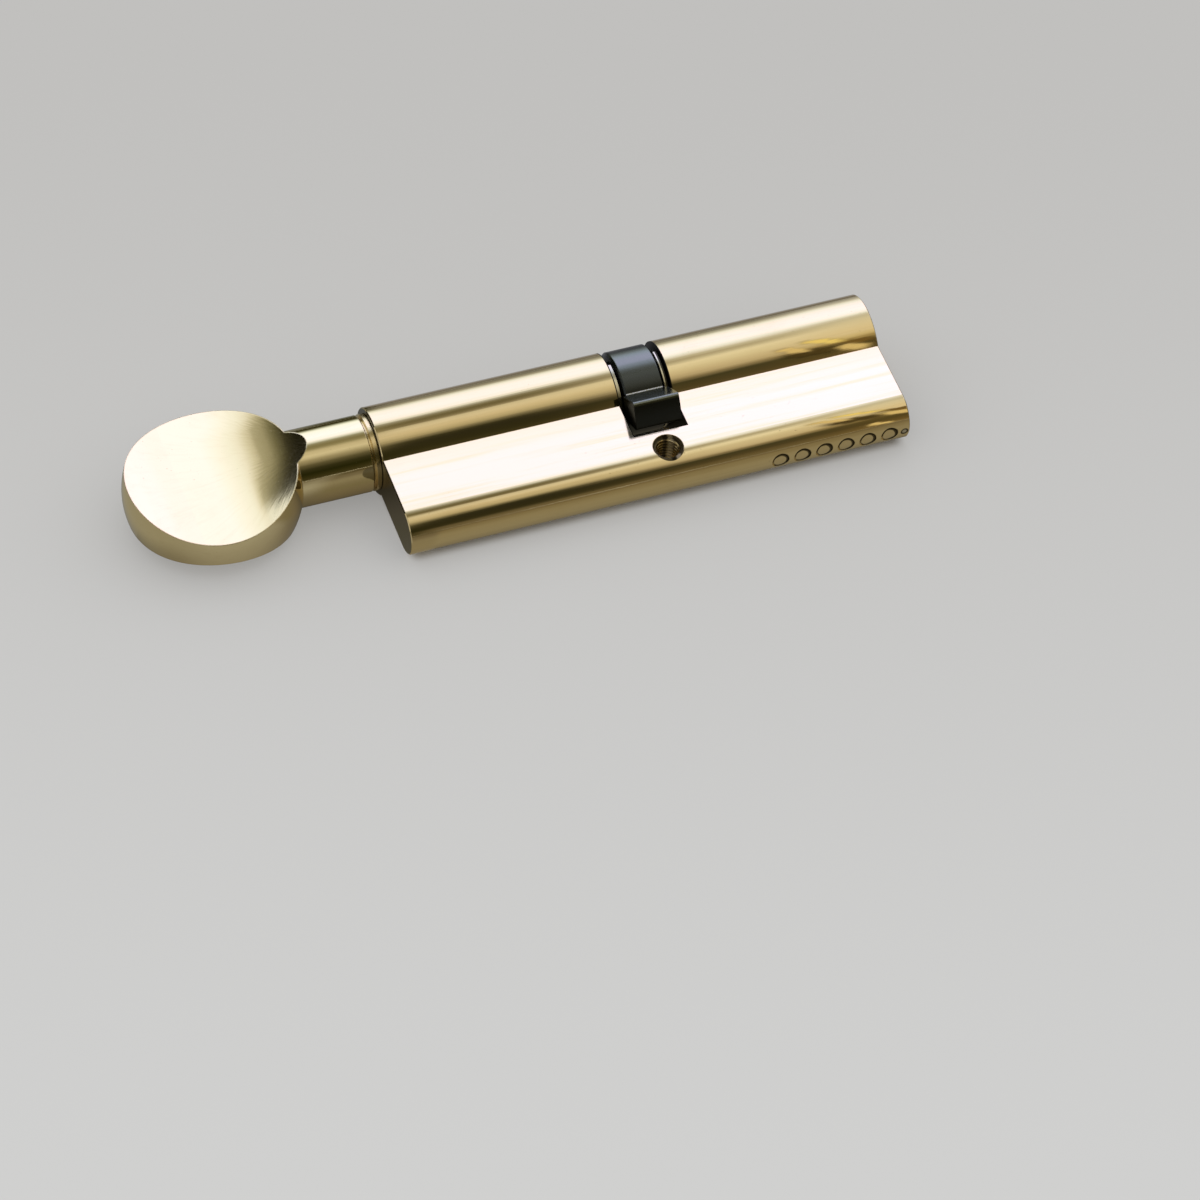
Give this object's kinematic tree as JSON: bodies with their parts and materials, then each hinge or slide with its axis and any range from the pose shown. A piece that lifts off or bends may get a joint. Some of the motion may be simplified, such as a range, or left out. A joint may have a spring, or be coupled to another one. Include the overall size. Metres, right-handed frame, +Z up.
{
  "type": "thumbturn euro profile lock cylinder",
  "caption": "Brass euro profile lock cylinder with a keyed plug at one end, a disc thumbturn on a short neck at the other, and a black steel cam between them.",
  "frame": {"origin": "middle of the underside of the part's box, on the surface that the lock lies on", "axes": "+X along the plug axis toward the key side, +Z up from the surface that the lock lies on, +Y toward the barrel side; the profile leans 10.34 degrees from flat"},
  "size_m": [0.1479, 0.0412, 0.017],
  "materials": {
    "housing_brass": "polished, with fine lengthwise polishing lines",
    "knob_brass": "mirror polished faces, turned neck",
    "spindle_brass": "turned",
    "key_plug_brass": "turned and broached",
    "stopper_brass": "filed flush",
    "pin_brass": "turned",
    "cam_steel": "black oxide on sintered steel",
    "clutch_steel": "sintered",
    "ring_steel": "bright spring steel",
    "guard_steel": "hardened, plain",
    "spring_steel": "drawn wire"
  },
  "bodies": {
    "lock_body": {"housing": "housing_brass", "foot_guard_pin": "guard_steel", "chamber_stopper_1": "stopper_brass", "chamber_stopper_2": "stopper_brass", "chamber_stopper_3": "stopper_brass", "chamber_stopper_4": "stopper_brass", "chamber_stopper_5": "stopper_brass", "chamber_stopper_6": "stopper_brass", "driver_spring_1": "spring_steel", "driver_spring_2": "spring_steel", "driver_spring_3": "spring_steel", "driver_spring_4": "spring_steel", "driver_spring_5": "spring_steel", "driver_spring_6": "spring_steel"},
    "thumbturn": {"thumb_knob": "knob_brass", "knob_set_screw": "guard_steel", "thumb_plug": "spindle_brass", "thumb_retaining_ring": "ring_steel", "clutch_spring": "spring_steel"},
    "cam_body": {"cam": "cam_steel"},
    "key_plug_body": {"key_plug": "key_plug_brass", "plug_guard_pins": "guard_steel", "key_retaining_ring": "ring_steel"},
    "clutch_key_body": {"clutch_key_half": "clutch_steel"},
    "clutch_thumb_body": {"clutch_thumb_half": "clutch_steel"},
    "key_pin_body_1": {"key_pin_1": "pin_brass"},
    "driver_pin_body_1": {"driver_pin_1": "pin_brass"},
    "key_pin_body_2": {"key_pin_2": "pin_brass"},
    "driver_pin_body_2": {"driver_pin_2": "pin_brass"},
    "key_pin_body_3": {"key_pin_3": "pin_brass"},
    "driver_pin_body_3": {"driver_pin_3": "pin_brass"},
    "key_pin_body_4": {"key_pin_4": "pin_brass"},
    "driver_pin_body_4": {"driver_pin_4": "pin_brass"},
    "key_pin_body_5": {"key_pin_5": "pin_brass"},
    "driver_pin_body_5": {"driver_pin_5": "pin_brass"},
    "key_pin_body_6": {"key_pin_6": "pin_brass"},
    "driver_pin_body_6": {"driver_pin_6": "pin_brass"}
  },
  "joints": [
    {"name": "thumb_turn", "type": "hinge", "parent": "lock_body", "child": "thumbturn", "pos_m": [0.02645, 0.00359, 0.0085], "axis": [1, 0, 0], "continuous": true},
    {"name": "cam_turn", "type": "hinge", "parent": "lock_body", "child": "cam_body", "pos_m": [0.02645, 0.00359, 0.0085], "axis": [1, 0, 0], "continuous": true},
    {"name": "key_plug_turn", "type": "hinge", "parent": "lock_body", "child": "key_plug_body", "pos_m": [0.02645, 0.00359, 0.0085], "axis": [1, 0, 0], "continuous": true},
    {"name": "clutch_push", "type": "slide", "parent": "key_plug_body", "child": "clutch_key_body", "axis": [-1, 0, 0], "range_m": [0, 0.0034], "stiffness_N_per_m": 150, "springref_m": -0.002},
    {"name": "clutch_follow", "type": "slide", "parent": "thumbturn", "child": "clutch_thumb_body", "axis": [-1, 0, 0], "range_m": [0, 0.0034], "deforming": ["clutch_spring"]},
    {"name": "key_pin_slide_1", "type": "slide", "parent": "key_plug_body", "child": "key_pin_body_1", "axis": [0, 0.9838, 0.1795], "range_m": [0, 0.00297]},
    {"name": "driver_pin_slide_1", "type": "slide", "parent": "lock_body", "child": "driver_pin_body_1", "axis": [0, -0.9838, -0.1795], "range_m": [0, 0.0035], "stiffness_N_per_m": 150, "springref_m": -0.003, "deforming": ["driver_spring_1"]},
    {"name": "key_pin_slide_2", "type": "slide", "parent": "key_plug_body", "child": "key_pin_body_2", "axis": [0, 0.9838, 0.1795], "range_m": [0, 0.00177]},
    {"name": "driver_pin_slide_2", "type": "slide", "parent": "lock_body", "child": "driver_pin_body_2", "axis": [0, -0.9838, -0.1795], "range_m": [0, 0.0035], "stiffness_N_per_m": 150, "springref_m": -0.003, "deforming": ["driver_spring_2"]},
    {"name": "key_pin_slide_3", "type": "slide", "parent": "key_plug_body", "child": "key_pin_body_3", "axis": [0, 0.9838, 0.1795], "range_m": [0, 0.00357]},
    {"name": "driver_pin_slide_3", "type": "slide", "parent": "lock_body", "child": "driver_pin_body_3", "axis": [0, -0.9838, -0.1795], "range_m": [0, 0.0035], "stiffness_N_per_m": 150, "springref_m": -0.003, "deforming": ["driver_spring_3"]},
    {"name": "key_pin_slide_4", "type": "slide", "parent": "key_plug_body", "child": "key_pin_body_4", "axis": [0, 0.9838, 0.1795], "range_m": [0, 0.00217]},
    {"name": "driver_pin_slide_4", "type": "slide", "parent": "lock_body", "child": "driver_pin_body_4", "axis": [0, -0.9838, -0.1795], "range_m": [0, 0.0035], "stiffness_N_per_m": 150, "springref_m": -0.003, "deforming": ["driver_spring_4"]},
    {"name": "key_pin_slide_5", "type": "slide", "parent": "key_plug_body", "child": "key_pin_body_5", "axis": [0, 0.9838, 0.1795], "range_m": [0, 0.00257]},
    {"name": "driver_pin_slide_5", "type": "slide", "parent": "lock_body", "child": "driver_pin_body_5", "axis": [0, -0.9838, -0.1795], "range_m": [0, 0.0035], "stiffness_N_per_m": 150, "springref_m": -0.003, "deforming": ["driver_spring_5"]},
    {"name": "key_pin_slide_6", "type": "slide", "parent": "key_plug_body", "child": "key_pin_body_6", "axis": [0, 0.9838, 0.1795], "range_m": [0, 0.00137]},
    {"name": "driver_pin_slide_6", "type": "slide", "parent": "lock_body", "child": "driver_pin_body_6", "axis": [0, -0.9838, -0.1795], "range_m": [0, 0.0035], "stiffness_N_per_m": 150, "springref_m": -0.003, "deforming": ["driver_spring_6"]}
  ],
  "couplings": [
    {"joint": "cam_turn", "follows": "thumb_turn", "ratio": 1},
    {"joint": "clutch_follow", "follows": "clutch_push", "ratio": 1}
  ]
}
